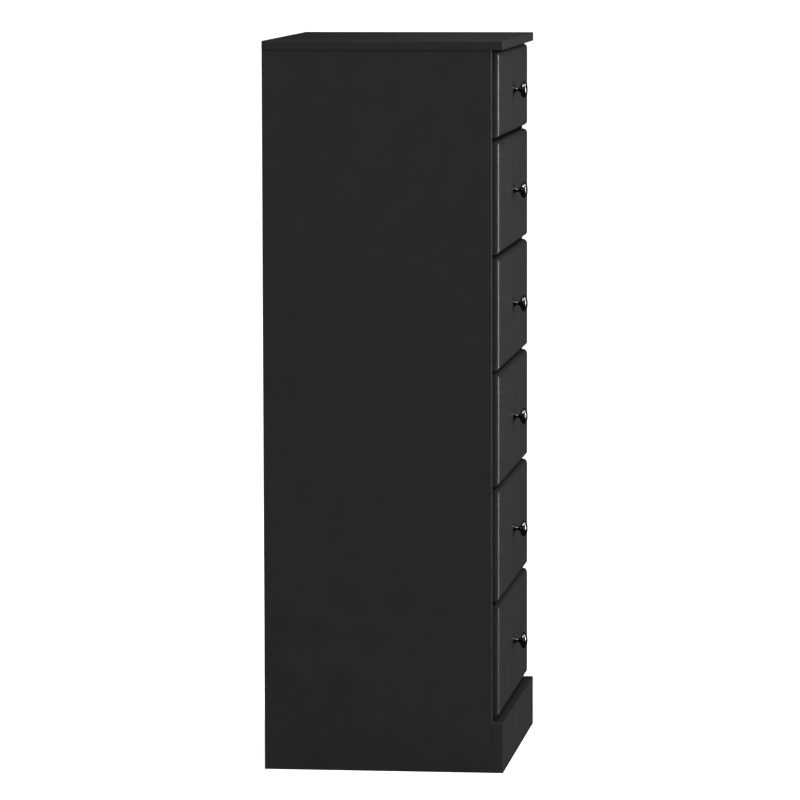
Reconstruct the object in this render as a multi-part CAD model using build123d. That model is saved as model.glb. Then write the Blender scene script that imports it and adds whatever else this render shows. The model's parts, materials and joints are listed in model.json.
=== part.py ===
"""Tall chest of six drawers, one shallow drawer over five deep ones.

Frame: +X to the right seen from the front, +Y to the rear, +Z up, in millimetres.
The origin is on the floor, at the centre of the overall footprint (knob tips to rear edges).
"""

from build123d import *
import os

# --- Driving dimensions ---------------------------------------------------------------------

# Case
HEIGHT = 1215.0
TOP_WIDTH = 530.0
TOP_SIDE_OVERHANG = 2.0  # the top stands this far proud of each side panel
SIDE_DEPTH = 381.0  # front to rear edge of a side panel
FRONT_OVERHANG = 19.0  # top and plinth stand this far forward of the side panels
BOARD = 15.0  # case board thickness
PLINTH_HEIGHT = 84.0
EDGE_RADIUS = 1.0  # softened edges of the visible boards
BACK_THICKNESS = 3.0
BACK_INSET = 8.0  # from the rear edges forward to the back panel
BACK_TONGUE = 5.0  # how far the back panel enters each side panel's groove
RAIL_WIDTH = 60.0  # flat front rails, front to rear
BACK_RAIL_HEIGHT = 80.0
BACK_PANEL_BOTTOM = 40.0  # its lower edge hangs behind the base panel
RAIL_SETBACK = 1.0  # flat front rails stand this far behind the drawer fronts

# Drawer fronts
FRONT_THICKNESS = 18.0
FRONT_PROUD = 11.0  # stands this far forward of the side panels
FRONT_ROUND = 8.5  # quarter-round worked on all four front edges
FRONT_SIDE_GAP = 2.0
DRAWER_GAP = 6.0
TOP_GAP = 4.0
SHALLOW_FRONT = 141.5
DEEP_FRONT = 186.5
DEEP_COUNT = 5

# Drawer boxes
BOX_BOARD = 12.0
BOX_SIDE_GAP = 1.5  # between a drawer side and a side panel
BOX_LIFT = 10.0  # drawer side's lower edge above the front's lower edge
BOX_LENGTH = 343.0  # drawer side, front to rear
SHALLOW_SIDE = 100.0
DEEP_SIDE = 140.0
BOTTOM_THICKNESS = 3.0
BOTTOM_LIFT = 8.0  # drawer bottom above the drawer side's lower edge
BOTTOM_TONGUE = 3.5  # how far the bottom enters its grooves
GROOVE_DEPTH = 4.0
GROOVE_SLACK = 0.2

# Runner strips
STRIP_HEIGHT = 10.0
STRIP_WIDTH = 7.0  # stands this far out of the side panel
STRIP_SLACK = 0.4  # above and below the strip in the drawer side's groove
STRIP_LENGTH = 330.0
RUNNER_GROOVE_DEPTH = 6.5
STOP_GAP = 0.3  # drawer front to the strip's front end, when shut

# Knobs
KNOB_LENGTH = 23.5
KNOB_RADIUS = 14.0
KNOB_RIM = 16.5  # height of the widest part of the head
KNOB_FOOT_RADIUS = 6.5
KNOB_FOOT_HEIGHT = 1.8
KNOB_WAIST_RADIUS = 3.1
KNOB_WAIST = 6.8  # height of the narrowest part of the neck
KNOB_BOWL_RADIUS = 8.7  # underside of the head, between neck and rim
KNOB_BOWL = 11.9
KNOB_BORE_DEPTH = 12.0

# Fasteners
HOLE_SLACK = 0.1  # on the radius, round every fastener
OVERCUT = 1.0  # a cut runs this far past the face it starts from
DOWEL_RADIUS = 4.0
DOWEL_LENGTH = 28.0
DOWEL_BLIND = 10.0  # depth of a dowel or cam bolt in a board's face
DOWEL_END_SLACK = 1.0  # from each end of a dowel to the end of its hole
CAM_RADIUS = 7.5
CAM_DEPTH = 12.5
CAM_SETBACK = 24.0  # cam centre from the joint
CAM_SLOT_SHARE = 0.7  # of the cam's radius, half the length of its screwdriver slot
CAM_SLOT_WIDTH = 1.6
CAM_SLOT_DEPTH = 1.5
CAM_BOLT_RADIUS = 3.0
BOX_CAM_RADIUS = 6.0
BOX_CAM_DEPTH = 9.5
BOX_BOLT_RADIUS = 2.5
BOX_DOWEL_RADIUS = 2.5
SCREW_RADIUS = 1.75
SCREW_HEAD_RADIUS = 3.5
SCREW_HEAD_DEPTH = 2.0
SCREW_POINT = 2.0
RECESS_LENGTH = 3.6  # each arm of a screw's cross recess, end to end
RECESS_WIDTH = 0.8
RECESS_DEPTH = 1.0
STRIP_SCREW_LENGTH = 16.0
BACK_SCREW_LENGTH = 30.0
PIN_RADIUS = 0.8
PIN_HEAD_RADIUS = 2.0
PIN_HEAD_DEPTH = 0.6
PIN_LENGTH = 15.0
KNOB_BOLT_RADIUS = 2.0
KNOB_BOLT_HEAD_RADIUS = 4.0
KNOB_BOLT_HEAD_DEPTH = 2.4
KNOB_BOLT_REACH = 10.0  # length inside the knob
KNOB_BOLT_SLACK = 0.25  # on the radius, in the drawer front
KNOB_SLOT_LENGTH = 6.0
KNOB_SLOT_WIDTH = 1.0
KNOB_SLOT_DEPTH = 1.0
WALL_HOLE_RADIUS = 2.5
WALL_HOLE_SPACING = 320.0
WALL_HOLE_DROP = 33.0  # below the top's upper face

# Fastener places
CASE_CAM_INSET = 45.0  # from the case's front edge, and from the back panel
CASE_DOWEL_SPACING = 120.0  # between the two dowels of a base or top joint
RAIL_CAM_INSET = 42.0  # behind a flat rail's front edge
RAIL_DOWEL_INSET = 16.0
REAR_RAIL_SHARES = (0.35, 0.75)  # cam and dowel, as shares of a rear rail's height
PLINTH_DOWEL_SHARES = (0.2, 0.6)  # of the plinth's height, into a side panel
PLINTH_DOWEL_PLACES = (-150.0, 0.0, 150.0)  # along the base panel's front edge
STRIP_SCREW_SHARES = (0.08, 0.5, 0.92)  # of a runner strip's length
BASE_PIN_PLACES = (-200.0, -100.0, 0.0, 100.0, 200.0)
RAIL_PIN_PLACES = (-100.0, 0.0, 100.0)
RAIL_PIN_SHARE = 0.6  # of the back rail's height, from its upper edge
BOX_JOINT_SHARES = (0.26, 0.78)  # lower and upper joint, as shares of a drawer side's height

# --- Places worked out from the driving dimensions --------------------------------------------

CASE_WIDTH = TOP_WIDTH - 2 * TOP_SIDE_OVERHANG
OVERALL_DEPTH = SIDE_DEPTH + FRONT_PROUD + KNOB_LENGTH
REAR = OVERALL_DEPTH / 2
CASE_FRONT = REAR - SIDE_DEPTH
FACE_FRONT = CASE_FRONT - FRONT_PROUD
FACE_REAR = FACE_FRONT + FRONT_THICKNESS
PLINTH_FRONT = CASE_FRONT - FRONT_OVERHANG
UNDER_TOP = HEIGHT - BOARD
OUTER = CASE_WIDTH / 2
INNER = OUTER - BOARD
BACK_REAR = REAR - BACK_INSET
BACK_FRONT = BACK_REAR - BACK_THICKNESS
RAIL_FRONT = FACE_REAR + RAIL_SETBACK
BASE_LOW = PLINTH_HEIGHT - BOARD
BOX_OUTER = INNER - BOX_SIDE_GAP
BOX_INNER = BOX_OUTER - BOX_BOARD
BOX_REAR = FACE_REAR + BOX_LENGTH
STRIP_FRONT = FACE_REAR + STOP_GAP
SIDES = {"left": -1, "right": 1}


def drawer_levels():
    """(lower edge of the front, front height, drawer side height), from the top drawer down."""
    levels = []
    upper = UNDER_TOP - TOP_GAP
    for index in range(DEEP_COUNT + 1):
        front, side = (DEEP_FRONT, DEEP_SIDE) if index else (SHALLOW_FRONT, SHALLOW_SIDE)
        levels.append((upper - front, front, side))
        upper -= front + DRAWER_GAP
    return levels


LEVELS = drawer_levels()
MIDDLE_RAIL_CENTRE = LEVELS[2][0] - DRAWER_GAP / 2

# --- Building blocks --------------------------------------------------------------------------


def block(x, y, z):
    """A box between the low and high value of each axis."""
    ranges = (x, y, z)
    centre = [(low + high) / 2 for low, high in ranges]
    size = [high - low for low, high in ranges]
    return Pos(*centre) * Box(*size)


def rod(start, direction, length, radius):
    """A cylinder from a start point along a direction."""
    return Solid.make_cylinder(radius, length, Plane(origin=start, z_dir=direction))


def turned(start, direction, outline):
    """A solid of revolution. The outline is (radius, distance along direction) from tip to tip."""
    face = make_face(Polyline(*[(r, d) for r, d in outline], close=True))
    solid = revolve(Plane.XZ * face, Axis.Z)
    return Plane(origin=start, z_dir=direction).location * solid


def softened(board, keep):
    """The board with EDGE_RADIUS on the edges that keep() picks."""
    return fillet([edge for edge in board.edges() if keep(edge)], EDGE_RADIUS)


def mirrored(x, sign):
    """The range between two distances from the centre plane, on one side of it."""
    return tuple(sorted((sign * x[0], sign * x[1])))


# --- Fasteners: each call gives the solid, and the hole it needs --------------------------------


def dowel(joint, inward, radius=DOWEL_RADIUS, length=DOWEL_LENGTH):
    """A dowel across a joint face. inward points into the board that is joined by its end."""
    start = Vector(*joint) - Vector(*inward) * (DOWEL_BLIND - DOWEL_END_SLACK)
    hole_start = Vector(*joint) - Vector(*inward) * DOWEL_BLIND
    solid = rod(start, inward, length, radius)
    hole = rod(hole_start, inward, length + 2 * DOWEL_END_SLACK, radius + HOLE_SLACK)
    return solid, hole


def cam_joint(joint, inward, cam_side, size):
    """A cam bolt and its cam. cam_side points out of the board face that the cam is let into."""
    cam_radius, cam_depth, bolt_radius, board = size
    start = Vector(*joint) - Vector(*inward) * DOWEL_BLIND
    bolt_length = DOWEL_BLIND + CAM_SETBACK - cam_radius
    mouth = Vector(*joint) + Vector(*inward) * CAM_SETBACK + Vector(*cam_side) * (board / 2)
    bolt = rod(start, inward, bolt_length - HOLE_SLACK, bolt_radius)
    cam = rod(mouth, Vector(*cam_side) * -1, cam_depth, cam_radius)
    slot = Box(2 * CAM_SLOT_SHARE * cam_radius, CAM_SLOT_WIDTH, 2 * CAM_SLOT_DEPTH)
    cam -= Plane(origin=mouth, z_dir=cam_side).location * slot
    bolt_hole = rod(start, inward, bolt_length, bolt_radius + HOLE_SLACK)
    cam_hole = rod(mouth, Vector(*cam_side) * -1, cam_depth + HOLE_SLACK, cam_radius + HOLE_SLACK)
    return bolt, cam, [bolt_hole, cam_hole]


CASE_CAM = (CAM_RADIUS, CAM_DEPTH, CAM_BOLT_RADIUS, BOARD)
BOX_CAM = (BOX_CAM_RADIUS, BOX_CAM_DEPTH, BOX_BOLT_RADIUS, BOX_BOARD)


def countersunk_screw(mouth, direction, length):
    """A flat-headed screw whose head is flush with the face at mouth, and its hole."""

    def shape(slack):
        head = SCREW_HEAD_RADIUS + slack
        shank = SCREW_RADIUS + slack
        tip = length + slack
        return [(0, 0), (head, 0), (shank, SCREW_HEAD_DEPTH), (shank, tip - SCREW_POINT), (0, tip)]

    arm = Box(RECESS_LENGTH, RECESS_WIDTH, 2 * RECESS_DEPTH)
    recess = arm + Box(RECESS_WIDTH, RECESS_LENGTH, 2 * RECESS_DEPTH)
    screw = turned(mouth, direction, shape(0)) - Plane(origin=mouth, z_dir=direction).location * recess
    return screw, turned(mouth, direction, shape(HOLE_SLACK))


def pin(mouth, direction):
    """A flat-headed panel pin standing on the face at mouth, and its hole."""
    head_start = Vector(*mouth) - Vector(*direction) * PIN_HEAD_DEPTH
    shank = rod(mouth, direction, PIN_LENGTH, PIN_RADIUS)
    hole = rod(mouth, direction, PIN_LENGTH + HOLE_SLACK, PIN_RADIUS + HOLE_SLACK)
    return rod(head_start, direction, PIN_HEAD_DEPTH, PIN_HEAD_RADIUS) + shank, hole


# --- Case ---------------------------------------------------------------------------------------


def runner_strips(name, sign, holes):
    """Six strips screwed to one side panel, one for each drawer, with three screws each."""
    strips, screws = [], []
    for low, _, side in LEVELS:
        centre = low + BOX_LIFT + side / 2
        strip = block(
            mirrored((INNER - STRIP_WIDTH, INNER), sign),
            (STRIP_FRONT, STRIP_FRONT + STRIP_LENGTH),
            (centre - STRIP_HEIGHT / 2, centre + STRIP_HEIGHT / 2),
        )
        for share in STRIP_SCREW_SHARES:
            mouth = (sign * (INNER - STRIP_WIDTH), STRIP_FRONT + STRIP_LENGTH * share, centre)
            screw, hole = countersunk_screw(mouth, (sign, 0, 0), STRIP_SCREW_LENGTH)
            screws.append(screw)
            strip -= hole
            holes[f"{name}_side_panel"].append(hole)
        strips.append(strip)
    return strips, screws


def case_joints(holes):
    """Dowels, cam bolts and cams that hold the case together, and their holes by board."""
    dowels, bolts, cams = [], [], []

    def add_dowel(joint, inward, *boards):
        solid, hole = dowel(joint, inward)
        dowels.append(solid)
        for board in boards:
            holes[board].append(hole)

    def add_cam(joint, inward, cam_side, *boards):
        bolt, cam, cuts = cam_joint(joint, inward, cam_side, CASE_CAM)
        bolts.append(bolt)
        cams.append(cam)
        for board in boards:
            holes[board].extend(cuts)

    base_centre = PLINTH_HEIGHT - BOARD / 2
    rail_centre = UNDER_TOP - BOARD / 2
    back_rail_centre = BACK_FRONT - BOARD / 2
    down, front, back = (0, 0, -1), (0, -1, 0), (0, 1, 0)
    cam_share, dowel_share = REAR_RAIL_SHARES
    for name, sign in SIDES.items():
        panel = f"{name}_side_panel"
        inward = (-sign, 0, 0)
        face = sign * INNER
        for y in (CASE_FRONT + CASE_CAM_INSET, BACK_FRONT - CASE_CAM_INSET):
            add_cam((face, y, base_centre), inward, down, panel, "base_panel")
            add_cam((sign * (OUTER - BOARD / 2), y, UNDER_TOP), down, inward, "top_panel", panel)
        for y in (-CASE_DOWEL_SPACING / 2, CASE_DOWEL_SPACING / 2):
            add_dowel((face, y, base_centre), inward, panel, "base_panel")
            add_dowel((sign * (OUTER - BOARD / 2), y, UNDER_TOP), down, "top_panel", panel)
        for rail, z in (("top_front_rail", rail_centre), ("middle_front_rail", MIDDLE_RAIL_CENTRE)):
            add_cam((face, RAIL_FRONT + RAIL_CAM_INSET, z), inward, down, panel, rail)
            add_dowel((face, RAIL_FRONT + RAIL_DOWEL_INSET, z), inward, panel, rail)
        upper = UNDER_TOP - BACK_RAIL_HEIGHT * cam_share
        lower = UNDER_TOP - BACK_RAIL_HEIGHT * dowel_share
        add_cam((face, back_rail_centre, upper), inward, front, panel, "back_rail")
        add_dowel((face, back_rail_centre, lower), inward, panel, "back_rail")
        add_cam((face, back_rail_centre, BASE_LOW * cam_share), inward, back, panel, "plinth_back_rail")
        add_dowel((face, back_rail_centre, BASE_LOW * dowel_share), inward, panel, "plinth_back_rail")
        for share in PLINTH_DOWEL_SHARES:
            joint = (sign * (OUTER - BOARD / 2), CASE_FRONT, PLINTH_HEIGHT * share)
            add_dowel(joint, back, "plinth", panel)
    for x in PLINTH_DOWEL_PLACES:
        add_dowel((x, CASE_FRONT, base_centre), back, "plinth", "base_panel")
    return dowels, bolts, cams


def back_pins(holes):
    """Pins that hold the back panel to the base panel and the back rail."""
    pins = []
    rows = (
        (PLINTH_HEIGHT - BOARD / 2, "base_panel", BASE_PIN_PLACES),
        (UNDER_TOP - BACK_RAIL_HEIGHT * RAIL_PIN_SHARE, "back_rail", RAIL_PIN_PLACES),
    )
    for z, board, places in rows:
        for x in places:
            solid, hole = pin((x, BACK_REAR, z), (0, -1, 0))
            pins.append(solid)
            holes["back_panel"].append(hole)
            holes[board].append(hole)
    return pins


def side_panel(sign):
    """A full-height side with the back panel's groove near its rear edge."""
    panel = block(mirrored((INNER, OUTER), sign), (CASE_FRONT, REAR), (0, UNDER_TOP))
    panel = softened(panel, lambda edge: edge.center().Y < CASE_FRONT + 1 and edge.length > HEIGHT / 2)
    groove = block(
        mirrored((INNER - OVERCUT, INNER + BACK_TONGUE + GROOVE_SLACK), sign),
        (BACK_FRONT - GROOVE_SLACK / 2, BACK_REAR + GROOVE_SLACK / 2),
        (-OVERCUT, UNDER_TOP + OVERCUT),
    )
    return panel - groove


def top_panel():
    half = TOP_WIDTH / 2
    board = block((-half, half), (PLINTH_FRONT, REAR), (UNDER_TOP, HEIGHT))
    return softened(board, lambda edge: True)


def plinth():
    """The front board of the base, its ends flush with the side panels."""
    board = block((-OUTER, OUTER), (PLINTH_FRONT, CASE_FRONT), (0, PLINTH_HEIGHT))
    return softened(board, lambda edge: edge.center().Y < CASE_FRONT - 1 and edge.center().Z > 1)


def case_boards():
    """The plain boards of the case by name, before any fastener holes are cut."""
    across = (-INNER, INNER)
    rail = (RAIL_FRONT, RAIL_FRONT + RAIL_WIDTH)
    rear_rail = (BACK_FRONT - BOARD, BACK_FRONT)
    tongue = INNER + BACK_TONGUE
    half_board = BOARD / 2
    return {
        "left_side_panel": side_panel(SIDES["left"]),
        "right_side_panel": side_panel(SIDES["right"]),
        "top_panel": top_panel(),
        "plinth": plinth(),
        "base_panel": block(across, (CASE_FRONT, BACK_FRONT), (BASE_LOW, PLINTH_HEIGHT)),
        "top_front_rail": block(across, rail, (UNDER_TOP - BOARD, UNDER_TOP)),
        "middle_front_rail": block(
            across, rail, (MIDDLE_RAIL_CENTRE - half_board, MIDDLE_RAIL_CENTRE + half_board)
        ),
        "back_rail": block(across, rear_rail, (UNDER_TOP - BACK_RAIL_HEIGHT, UNDER_TOP)),
        "plinth_back_rail": block(across, rear_rail, (0, BASE_LOW)),
        "back_panel": block(
            (-tongue, tongue), (BACK_FRONT, BACK_REAR), (BACK_PANEL_BOTTOM, UNDER_TOP)
        ),
    }


def case_nodes():
    """Every node that stays still."""
    boards = case_boards()
    holes = {name: [] for name in boards}
    nodes = {}
    runner_screws = []
    for name, sign in SIDES.items():
        strips, screws = runner_strips(name, sign, holes)
        nodes[f"{name}_runner_strips"] = Compound(strips)
        runner_screws += screws
    nodes["runner_screws"] = Compound(runner_screws)
    dowels, bolts, cams = case_joints(holes)
    nodes["case_dowels"] = Compound(dowels)
    nodes["case_cam_bolts"] = Compound(bolts)
    nodes["case_cams"] = Compound(cams)
    nodes["back_pins"] = Compound(back_pins(holes))
    for x in (-WALL_HOLE_SPACING / 2, WALL_HOLE_SPACING / 2):
        start = (x, BACK_FRONT - BOARD - OVERCUT, HEIGHT - WALL_HOLE_DROP)
        wall_hole = rod(start, (0, 1, 0), BOARD + BACK_THICKNESS + 2 * OVERCUT, WALL_HOLE_RADIUS)
        holes["back_rail"].append(wall_hole)
        holes["back_panel"].append(wall_hole)
    for name, board in boards.items():
        nodes[name] = board - holes[name] if holes[name] else board
    return nodes


# --- Drawers ------------------------------------------------------------------------------------


def knob():
    """A mushroom knob on a small flared foot, axis along +Z from the drawer front's face."""
    foot_top = (KNOB_FOOT_RADIUS, KNOB_FOOT_HEIGHT)
    waist = (KNOB_WAIST_RADIUS, KNOB_WAIST)
    bowl = (KNOB_BOWL_RADIUS, KNOB_BOWL)
    rim = (KNOB_RADIUS, KNOB_RIM)
    tip = (0, KNOB_LENGTH)
    profile = [
        Line((0, 0), (KNOB_FOOT_RADIUS, 0)),
        Line((KNOB_FOOT_RADIUS, 0), foot_top),
        Spline([foot_top, waist], tangents=[(-1, 0.4), (0, 1)]),
        Spline([waist, bowl, rim], tangents=[(0, 1), (0.35, 1)]),
        Spline([rim, tip], tangents=[(-0.1, 1), (-1, 0)]),
        Line(tip, (0, 0)),
    ]
    solid = revolve(Plane.XZ * make_face(profile), Axis.Z)
    return solid - rod((0, 0, 0), (0, 0, 1), KNOB_BORE_DEPTH, KNOB_BOLT_RADIUS + HOLE_SLACK)


def drawer_front(low, height):
    """A solid front with a quarter-round on its four front edges and the bottom's groove behind."""
    half = INNER - FRONT_SIDE_GAP
    board = block((-half, half), (FACE_FRONT, FACE_REAR), (low, low + height))
    face = board.faces().sort_by(Axis.Y)[0]
    board = fillet(face.edges(), FRONT_ROUND)
    return board - bottom_panel(low, GROOVE_SLACK)


def bottom_panel(low, slack=0.0):
    """The drawer bottom, or with slack the space that its grooves leave for it."""
    level = low + BOX_LIFT + BOTTOM_LIFT
    reach = BOX_INNER + BOTTOM_TONGUE + slack
    return block(
        (-reach, reach),
        (FACE_REAR - BOTTOM_TONGUE - slack, BOX_REAR + (OVERCUT if slack else 0)),
        (level - slack / 2, level + BOTTOM_THICKNESS + slack / 2),
    )


def drawer_side(low, height, sign):
    """A drawer side with the runner groove outside and the bottom's groove inside."""
    base = low + BOX_LIFT
    centre = base + height / 2
    board = block(mirrored((BOX_INNER, BOX_OUTER), sign), (FACE_REAR, BOX_REAR), (base, base + height))
    runner_groove = block(
        mirrored((BOX_OUTER - RUNNER_GROOVE_DEPTH, BOX_OUTER + OVERCUT), sign),
        (FACE_REAR - OVERCUT, BOX_REAR + OVERCUT),
        (centre - STRIP_HEIGHT / 2 - STRIP_SLACK, centre + STRIP_HEIGHT / 2 + STRIP_SLACK),
    )
    return board - [runner_groove, bottom_panel(low, GROOVE_SLACK)]


def drawer_fasteners(low, front_height, side_height, parts):
    """Knob bolt, cams, dowels, screws and bottom pins of one drawer. Cuts their holes in parts."""
    base = low + BOX_LIFT
    back_centre = BOX_REAR - BOX_BOARD / 2
    solids = []

    def add(solid, hole, *names):
        solids.append(solid)
        for name in names:
            parts[name] -= hole

    knob_level = low + front_height / 2
    inside = (0, FACE_REAR, knob_level)
    shank = rod(inside, (0, -1, 0), FRONT_THICKNESS + KNOB_BOLT_REACH, KNOB_BOLT_RADIUS)
    head = rod(inside, (0, 1, 0), KNOB_BOLT_HEAD_DEPTH, KNOB_BOLT_HEAD_RADIUS)
    slot_centre = Pos(0, FACE_REAR + KNOB_BOLT_HEAD_DEPTH, knob_level)
    slot = slot_centre * Box(KNOB_SLOT_LENGTH, 2 * KNOB_SLOT_DEPTH, KNOB_SLOT_WIDTH)
    knob_hole = rod(inside, (0, -1, 0), FRONT_THICKNESS, KNOB_BOLT_RADIUS + KNOB_BOLT_SLACK)
    add(shank + head - slot, knob_hole, "front")
    lower, upper = (base + side_height * share for share in BOX_JOINT_SHARES)
    for name, sign in SIDES.items():
        side = f"{name}_side"
        middle = sign * (BOX_OUTER - BOX_BOARD / 2)
        bolt, cam, cuts = cam_joint((middle, FACE_REAR, upper), (0, 1, 0), (-sign, 0, 0), BOX_CAM)
        add(bolt, cuts, "front", side)
        solids.append(cam)
        add(*dowel((middle, FACE_REAR, lower), (0, 1, 0), BOX_DOWEL_RADIUS), "front", side)
        for z in (lower, upper):
            mouth = (sign * BOX_OUTER, back_centre, z)
            add(*countersunk_screw(mouth, (-sign, 0, 0), BACK_SCREW_LENGTH), side, "back")
    for x in (-BOX_INNER / 2, BOX_INNER / 2):
        mouth = (x, back_centre, base + BOTTOM_LIFT)
        add(*pin(mouth, (0, 0, 1)), "bottom", "back")
    return Compound(solids)


def drawer_nodes(number, low, front_height, side_height):
    """The nodes of one drawer. Drawer 1 is the top one."""
    base = low + BOX_LIFT
    parts = {
        "front": drawer_front(low, front_height),
        "left_side": drawer_side(low, side_height, SIDES["left"]),
        "right_side": drawer_side(low, side_height, SIDES["right"]),
        "back": block(
            (-BOX_INNER, BOX_INNER),
            (BOX_REAR - BOX_BOARD, BOX_REAR),
            (base + BOTTOM_LIFT + BOTTOM_THICKNESS, base + side_height),
        ),
        "bottom": bottom_panel(low),
    }
    parts["fasteners"] = drawer_fasteners(low, front_height, side_height, parts)
    seat = Plane(origin=(0, FACE_FRONT, low + front_height / 2), z_dir=(0, -1, 0))
    parts["knob"] = seat.location * knob()
    return {f"drawer_{number}_{name}": shape for name, shape in parts.items()}


def main():
    os.makedirs("parts", exist_ok=True)
    nodes = case_nodes()
    for index, level in enumerate(LEVELS):
        nodes.update(drawer_nodes(index + 1, *level))
    for name, shape in nodes.items():
        export_step(shape, f"parts/{name}.step")


main()
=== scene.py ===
"""Looks of the tall chest of drawers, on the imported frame. Metres, +X right, +Y rear, +Z up."""

import json
import math

import bpy
from mathutils import Matrix, Vector


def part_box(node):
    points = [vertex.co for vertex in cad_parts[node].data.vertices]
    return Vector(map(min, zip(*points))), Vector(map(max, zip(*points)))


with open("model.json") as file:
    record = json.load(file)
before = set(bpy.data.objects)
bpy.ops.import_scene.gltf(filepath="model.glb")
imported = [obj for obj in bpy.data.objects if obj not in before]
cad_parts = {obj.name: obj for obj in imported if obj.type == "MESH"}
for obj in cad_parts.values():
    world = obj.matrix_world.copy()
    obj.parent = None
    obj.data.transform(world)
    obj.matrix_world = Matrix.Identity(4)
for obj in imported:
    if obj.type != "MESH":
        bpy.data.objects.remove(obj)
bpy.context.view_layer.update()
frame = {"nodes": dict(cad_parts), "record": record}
scene = bpy.context.scene
nodes = frame["nodes"]

MM = 0.001
WEAR_RADIUS = 0.9 * MM  # width of the worn band along an edge
WEAR_START, WEAR_FULL = 0.995, 0.75  # cosine between the true and the rounded normal
FLOOR_HALF = 120.0
FLOOR_GLOW = (0.74, 1.0)  # the floor's own light near the object and far from it
FLOOR_GLOW_REACH = (1.5, 6.0)  # distances between which it rises
HORIZON = -0.02  # height of a direction at which the studio's wall turns into its ground
WALL_FADE = (-0.5, 0.8)  # a direction's x over which the left wall fades out to the right

# --- Node helpers -------------------------------------------------------------------------------


class Shader:
    """A material's node tree with a Principled shader, built node by node."""

    def __init__(self, name):
        self.material = bpy.data.materials.new(name)
        self.material.use_nodes = True
        self.tree = self.material.node_tree
        self.tree.nodes.clear()
        self.output = self.tree.nodes.new("ShaderNodeOutputMaterial")
        self.principled = self.tree.nodes.new("ShaderNodeBsdfPrincipled")
        self.link(self.principled.outputs["BSDF"], self.output.inputs["Surface"])
        self.place = self.tree.nodes.new("ShaderNodeTexCoord").outputs["Object"]

    def link(self, source, target):
        self.tree.links.new(source, target)

    def node(self, kind, **inputs):
        """A new node. Inputs are given by name with _ for a space, as a value or as a socket."""
        made = self.tree.nodes.new(kind)
        for key, value in inputs.items():
            self.feed(made.inputs[key.replace("_", " ")], value)
        return made

    def feed(self, target, value):
        if isinstance(value, bpy.types.NodeSocket):
            self.link(value, target)
        else:
            target.default_value = value

    def set(self, **inputs):
        """Values or sockets for the Principled shader."""
        for key, value in inputs.items():
            self.feed(self.principled.inputs[key.replace("_", " ")], value)

    def stretched(self, x, y, z):
        """The object's coordinates, scaled along each axis."""
        return self.node("ShaderNodeMapping", Vector=self.place, Scale=(x, y, z)).outputs["Vector"]

    def noise(self, scale, detail, roughness=0.55, vector=None, distortion=0.0):
        """Noise of about 0 to 1, whose grains are 1 / scale metres wide."""
        made = self.node(
            "ShaderNodeTexNoise",
            Vector=vector or self.place,
            Scale=scale,
            Detail=detail,
            Roughness=roughness,
            Distortion=distortion,
        )
        return made.outputs["Fac"]

    def remap(self, value, low, high, to_low, to_high):
        """The value taken from one range to another, and kept inside it."""
        made = self.node("ShaderNodeMapRange", Value=value)
        for key, number in (("From Min", low), ("From Max", high), ("To Min", to_low), ("To Max", to_high)):
            made.inputs[key].default_value = number
        return made.outputs["Result"]

    def math(self, operation, first, second=0.0):
        made = self.tree.nodes.new("ShaderNodeMath")
        made.operation = operation
        self.feed(made.inputs[0], first)
        self.feed(made.inputs[1], second)
        return made.outputs["Value"]

    def blend(self, share, first, second):
        """A colour between two, by share."""
        made = self.tree.nodes.new("ShaderNodeMix")
        made.data_type = "RGBA"
        self.feed(made.inputs["Factor"], share)
        self.feed(made.inputs["A"], first)
        self.feed(made.inputs["B"], second)
        return made.outputs["Result"]

    def bump(self, height, depth, below=None):
        """Surface relief of that depth in metres. below is relief that it lies on."""
        made = self.node("ShaderNodeBump", Height=height, Distance=depth, Strength=1.0)
        if below:
            self.link(below, made.inputs["Normal"])
        return made.outputs["Normal"]

    def edge_mask(self, radius):
        """1 near an edge of the solid and 0 away from it."""
        bevel = self.node("ShaderNodeBevel", Radius=radius)
        flat = self.tree.nodes.new("ShaderNodeNewGeometry").outputs["Normal"]
        dot = self.tree.nodes.new("ShaderNodeVectorMath")
        dot.operation = "DOT_PRODUCT"
        self.link(bevel.outputs["Normal"], dot.inputs[0])
        self.link(flat, dot.inputs[1])
        return self.remap(dot.outputs["Value"], WEAR_START, WEAR_FULL, 0.0, 1.0)


def grey(level, warmth=0.0):
    """A linear colour near grey, a little warmer or cooler."""
    return (level * (1 + warmth), level, level * (1 - warmth), 1.0)


# --- Materials ----------------------------------------------------------------------------------


def foil(name, tone, roughness, specular, pearl_depth, wear):
    """Black foil over board: fine pearl emboss, faint smears of handling, lighter worn edges."""
    s = Shader(name)
    smear = s.noise(7.0, 5.0, 0.6, distortion=0.8)
    cloud = s.noise(19.0, 5.0, 0.65)
    pearl = s.noise(950.0, 2.0, 0.5)
    peel = s.noise(230.0, 2.0, 0.5)
    scuff = s.noise(60.0, 6.0, 0.7, vector=s.stretched(1.0, 0.3, 0.3), distortion=0.6)
    darker, lighter, bare = grey(tone * 0.93, -0.01), grey(tone * 1.07, 0.01), grey(tone * 2.6, 0.03)
    base = s.blend(s.remap(cloud, 0.3, 0.7, 0.0, 1.0), darker, lighter)
    worn = s.math("MULTIPLY", s.edge_mask(WEAR_RADIUS), s.remap(scuff, 0.42, 0.66, 0.15, 1.0))
    smeared = s.remap(smear, 0.35, 0.65, roughness - 0.015, roughness + 0.015)
    s.set(
        Base_Color=s.blend(s.math("MULTIPLY", worn, wear), base, bare),
        Roughness=s.math("ADD", smeared, s.remap(scuff, 0.4, 0.8, 0.0, 0.03)),
        Specular_IOR_Level=specular,
        Normal=s.bump(pearl, pearl_depth, s.bump(peel, pearl_depth * 1.5)),
    )
    return s.material


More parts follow.
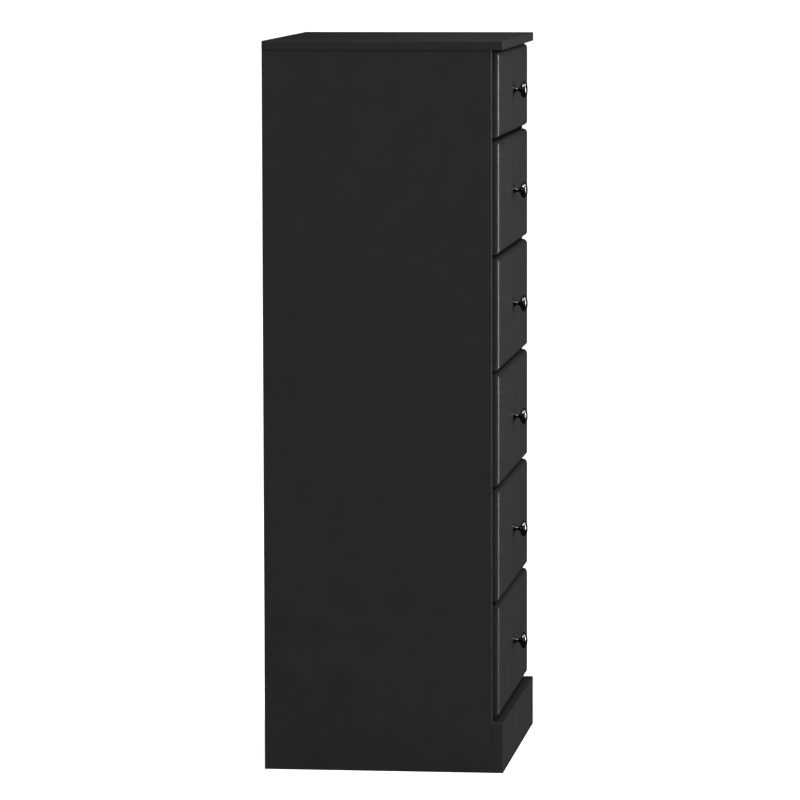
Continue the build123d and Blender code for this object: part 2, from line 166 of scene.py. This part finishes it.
def linen_foil(name):
    """Dark grey drawer-box foil with a printed and embossed linen weave."""
    s = Shader(name)
    along_thread, across_thread = 90.0, 1100.0
    weave = []
    for axis in range(3):
        stretch = [along_thread] * 3
        stretch[axis] = across_thread
        weave.append(s.noise(1.0, 3.0, 0.6, vector=s.stretched(*stretch)))
    height = s.math("MAXIMUM", s.math("MAXIMUM", weave[0], weave[1]), weave[2])
    patch = s.noise(9.0, 4.0, 0.6)
    s.set(
        Base_Color=s.blend(s.remap(height, 0.45, 0.72, 0.0, 1.0), grey(0.030, 0.0), grey(0.062, 0.02)),
        Roughness=s.remap(patch, 0.3, 0.7, 0.50, 0.62),
        Specular_IOR_Level=0.35,
        Normal=s.bump(height, 0.05 * MM),
    )
    return s.material


def hardboard(name):
    """Thin dark hardboard: fine matted fibres, darker chips and a slightly blotchy pressed face."""
    s = Shader(name)
    fibre_width = 0.035  # of the noise's range
    mats = []
    for scale in (170.0, 310.0):
        swirl = s.math("SUBTRACT", s.noise(scale, 3.0, 0.6, distortion=2.2), 0.5)
        mats.append(s.remap(s.math("ABSOLUTE", swirl), 0.0, fibre_width, 1.0, 0.0))
    fibres = s.math("MAXIMUM", mats[0], mats[1])
    blotch = s.noise(14.0, 5.0, 0.65)
    chip = s.noise(420.0, 3.0, 0.6)
    ground = s.blend(s.remap(blotch, 0.3, 0.7, 0.0, 1.0), grey(0.020, 0.14), grey(0.030, 0.18))
    fibrous = s.blend(s.math("MULTIPLY", fibres, 0.6), ground, grey(0.075, 0.24))
    s.set(
        Base_Color=s.blend(s.remap(chip, 0.60, 0.70, 0.0, 0.7), fibrous, grey(0.010, 0.15)),
        Roughness=s.remap(blotch, 0.3, 0.7, 0.52, 0.70),
        Specular_IOR_Level=0.3,
        Normal=s.bump(fibres, 0.05 * MM, s.bump(chip, 0.04 * MM)),
    )
    return s.material


def black_nickel(name):
    """Polished black nickel with faint handling haze and hairline polishing marks."""
    s = Shader(name)
    haze = s.noise(130.0, 5.0, 0.6)
    hair = s.noise(90.0, 6.0, 0.8, vector=s.stretched(1.0, 14.0, 1.0))
    s.set(
        Base_Color=s.blend(s.remap(haze, 0.35, 0.65, 0.0, 1.0), grey(0.085, -0.03), grey(0.12, 0.02)),
        Metallic=1.0,
        Roughness=s.remap(haze, 0.3, 0.7, 0.10, 0.19),
        Coat_Weight=0.35,
        Coat_Roughness=0.06,
        Normal=s.bump(hair, 0.006 * MM),
    )
    return s.material


def plated_steel(name, tone, low_rough, high_rough):
    """Zinc-plated or cast zinc metal with mottled plating."""
    s = Shader(name)
    mottle = s.noise(800.0, 5.0, 0.6)
    blotch = s.noise(180.0, 3.0, 0.5)
    darker, lighter = grey(tone * 0.86, -0.02), grey(tone * 1.1, 0.03)
    s.set(
        Base_Color=s.blend(s.remap(blotch, 0.35, 0.65, 0.0, 1.0), darker, lighter),
        Metallic=1.0,
        Roughness=s.remap(mottle, 0.3, 0.7, low_rough, high_rough),
        Normal=s.bump(mottle, 0.02 * MM),
    )
    return s.material


def moulded_plastic(name):
    """Black moulded plastic with a fine spark-eroded texture and slide marks along its length."""
    s = Shader(name)
    spark = s.noise(1900.0, 3.0, 0.6)
    slide = s.noise(260.0, 4.0, 0.6, vector=s.stretched(1.0, 0.02, 1.0))
    s.set(
        Base_Color=s.blend(s.remap(slide, 0.4, 0.7, 0.0, 1.0), grey(0.020, 0.0), grey(0.036, 0.01)),
        Roughness=s.remap(slide, 0.35, 0.7, 0.58, 0.38),
        Specular_IOR_Level=0.4,
        Normal=s.bump(spark, 0.03 * MM),
    )
    return s.material


def beech(name):
    """Turned beech dowel with short flecks along the grain."""
    s = Shader(name)
    fleck = s.noise(500.0, 5.0, 0.6, vector=s.stretched(0.15, 1.0, 1.0))
    pale_wood, dark_wood = (0.62, 0.43, 0.25, 1), (0.40, 0.24, 0.12, 1)
    s.set(
        Base_Color=s.blend(s.remap(fleck, 0.35, 0.7, 0.0, 1.0), pale_wood, dark_wood),
        Roughness=s.remap(fleck, 0.3, 0.7, 0.55, 0.7),
        Normal=s.bump(fleck, 0.05 * MM),
    )
    return s.material


LOOKS = {
    "case_board": foil(
        "case_foil", tone=0.0135, roughness=0.42, specular=0.30, pearl_depth=0.016 * MM, wear=0.2
    ),
    "drawer_front": foil(
        "front_foil", tone=0.0135, roughness=0.38, specular=0.36, pearl_depth=0.012 * MM, wear=0.22
    ),
    "knob_metal": black_nickel("black_nickel"),
    "drawer_board": linen_foil("linen_foil"),
    "hardboard": hardboard("dark_hardboard"),
    "runner_plastic": moulded_plastic("runner_plastic"),
    "steel": plated_steel("plated_steel", tone=0.42, low_rough=0.30, high_rough=0.46),
    "zinc": plated_steel("cast_zinc", tone=0.5, low_rough=0.38, high_rough=0.55),
    "dowel_wood": beech("beech"),
}

for row in frame["record"]["subparts"]:
    surface = nodes[row["node"]].data
    surface.materials.clear()
    surface.materials.append(LOOKS[row["material_slot"]])

# --- Stage --------------------------------------------------------------------------------------


def pale_floor():
    """A very wide white floor with a little light of its own, so that shadows on it stay soft."""
    half = FLOOR_HALF
    mesh = bpy.data.meshes.new("floor")
    corners = [(-half, -half, 0), (half, -half, 0), (half, half, 0), (-half, half, 0)]
    mesh.from_pydata(corners, [], [(0, 1, 2, 3)])
    floor = bpy.data.objects.new("floor", mesh)
    scene.collection.objects.link(floor)
    s = Shader("pale_floor")
    away = s.tree.nodes.new("ShaderNodeVectorMath")
    away.operation = "LENGTH"
    s.link(s.place, away.inputs[0])
    s.set(
        Base_Color=s.blend(s.noise(1.5, 2.0), grey(0.86), grey(0.90)),
        Roughness=0.9,
        Specular_IOR_Level=0.1,
        Emission_Color=grey(1.0),
        Emission_Strength=s.remap(away.outputs["Value"], *FLOOR_GLOW_REACH, *FLOOR_GLOW),
    )
    mesh.materials.append(s.material)
    floor.visible_glossy = False


def studio_world(wall, ceiling, ground):
    """White backdrop. As fill light, a wall on the left that fades upward, and a dim ceiling and ground."""
    world = bpy.data.worlds.new("studio")
    scene.world = world
    world.use_nodes = True
    tree = world.node_tree
    tree.nodes.clear()
    output = tree.nodes.new("ShaderNodeOutputWorld")
    fill, backdrop = (tree.nodes.new("ShaderNodeBackground") for _ in range(2))
    place = tree.nodes.new("ShaderNodeTexCoord").outputs["Generated"]
    axes = tree.nodes.new("ShaderNodeSeparateXYZ")
    tree.links.new(place, axes.inputs["Vector"])

    def ramp(axis, start, end, at_start, at_end):
        made = tree.nodes.new("ShaderNodeMapRange")
        tree.links.new(axes.outputs[axis], made.inputs["Value"])
        for key, value in (("From Min", start), ("From Max", end), ("To Min", at_start), ("To Max", at_end)):
            made.inputs[key].default_value = value
        return made.outputs["Result"]

    def combine(operation, first, second):
        made = tree.nodes.new("ShaderNodeMath")
        made.operation = operation
        tree.links.new(first, made.inputs[0])
        tree.links.new(second, made.inputs[1])
        return made.outputs["Value"]

    above_ground = combine("MULTIPLY", ramp("Z", HORIZON, 0.0, 0.0, 1.0), ramp("Z", 0.0, 1.0, wall, 0.0))
    left_wall = combine("MULTIPLY", above_ground, ramp("X", *WALL_FADE, 1.0, 0.0))
    rest = combine("ADD", ramp("Z", 0.0, 1.0, 0.0, ceiling), ramp("Z", HORIZON, 0.0, ground, 0.0))
    tree.links.new(combine("ADD", left_wall, rest), fill.inputs["Strength"])
    fill.inputs["Color"].default_value = grey(1.0)
    backdrop.inputs["Color"].default_value = grey(1.0)
    backdrop.inputs["Strength"].default_value = 1.0
    path = tree.nodes.new("ShaderNodeLightPath")
    mix = tree.nodes.new("ShaderNodeMixShader")
    tree.links.new(path.outputs["Is Camera Ray"], mix.inputs["Fac"])
    tree.links.new(fill.outputs["Background"], mix.inputs[1])
    tree.links.new(backdrop.outputs["Background"], mix.inputs[2])
    tree.links.new(mix.outputs["Shader"], output.inputs["Surface"])


def softbox(name, place, aim, width, height, watts):
    """A rectangular light at a place, turned to face its aim."""
    data = bpy.data.lights.new(name, "AREA")
    data.shape = "RECTANGLE"
    data.size, data.size_y, data.energy = width, height, watts
    light = bpy.data.objects.new(name, data)
    scene.collection.objects.link(light)
    light.location = place
    light.rotation_euler = (Vector(aim) - Vector(place)).to_track_quat("-Z", "Y").to_euler()


def overhead(strength, tilt_x, tilt_y, spread):
    """A wide, nearly overhead light that lights the floor evenly."""
    data = bpy.data.lights.new("overhead", "SUN")
    data.energy, data.angle = strength, math.radians(spread)
    light = bpy.data.objects.new("overhead", data)
    scene.collection.objects.link(light)
    light.rotation_euler = (math.radians(tilt_x), math.radians(tilt_y), 0)


pale_floor()
studio_world(wall=0.3, ceiling=0.03, ground=0.03)
overhead(strength=0.75, tilt_x=-5.0, tilt_y=-5.0, spread=50.0)
softbox("side_box", (-3.2, -1.2, 6.0), (-0.2, 0.0, 0.6), width=1.6, height=1.6, watts=220.0)
softbox("front_box", (0.85, -3.5, 1.0), (0.0, -0.15, 0.6), width=0.4, height=2.4, watts=118.0)
softbox("top_box", (0.3, -1.9, 2.6), (0.0, -0.1, 1.0), width=1.6, height=0.8, watts=38.0)
softbox("top_glow", (1.2, -0.02, 1.75), (0.0, -0.1, 1.2), width=0.3, height=0.3, watts=0.06)
softbox("rear_box", (2.6, 2.2, 0.55), (0.0, 0.0, 0.6), width=1.8, height=1.1, watts=38.0)

# --- Camera -------------------------------------------------------------------------------------

CAMERA_LENS = 235.24
CAMERA_SENSOR = 36.0
CAMERA_TURN = 6.909  # degrees from square-on to the side, towards the front
CAMERA_DROP = 5.620  # degrees downward
CAMERA_ROLL = -0.131
CAMERA_AWAY = 8.914  # from the point it looks at
AIM = Vector((-0.0023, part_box("plinth")[0].y + 0.2027, 0.5961))


def camera():
    """A long lens that sees the left side, part of the front and a sliver of the top."""
    data = bpy.data.cameras.new("camera")
    data.lens, data.sensor_width = CAMERA_LENS, CAMERA_SENSOR
    data.clip_start, data.clip_end = 0.1, 500.0
    eye = bpy.data.objects.new("camera", data)
    scene.collection.objects.link(eye)
    turn, drop = math.radians(CAMERA_TURN), math.radians(CAMERA_DROP)
    ahead = Vector((math.cos(turn) * math.cos(drop), math.sin(turn) * math.cos(drop), -math.sin(drop)))
    eye.rotation_mode = "QUATERNION"
    level = ahead.to_track_quat("-Z", "Y").to_matrix()
    roll = Matrix.Rotation(math.radians(CAMERA_ROLL), 3, "Z")
    eye.rotation_quaternion = (level @ roll).to_quaternion()
    eye.location = AIM - ahead * CAMERA_AWAY
    scene.camera = eye


camera()
scene.view_settings.view_transform = "Standard"
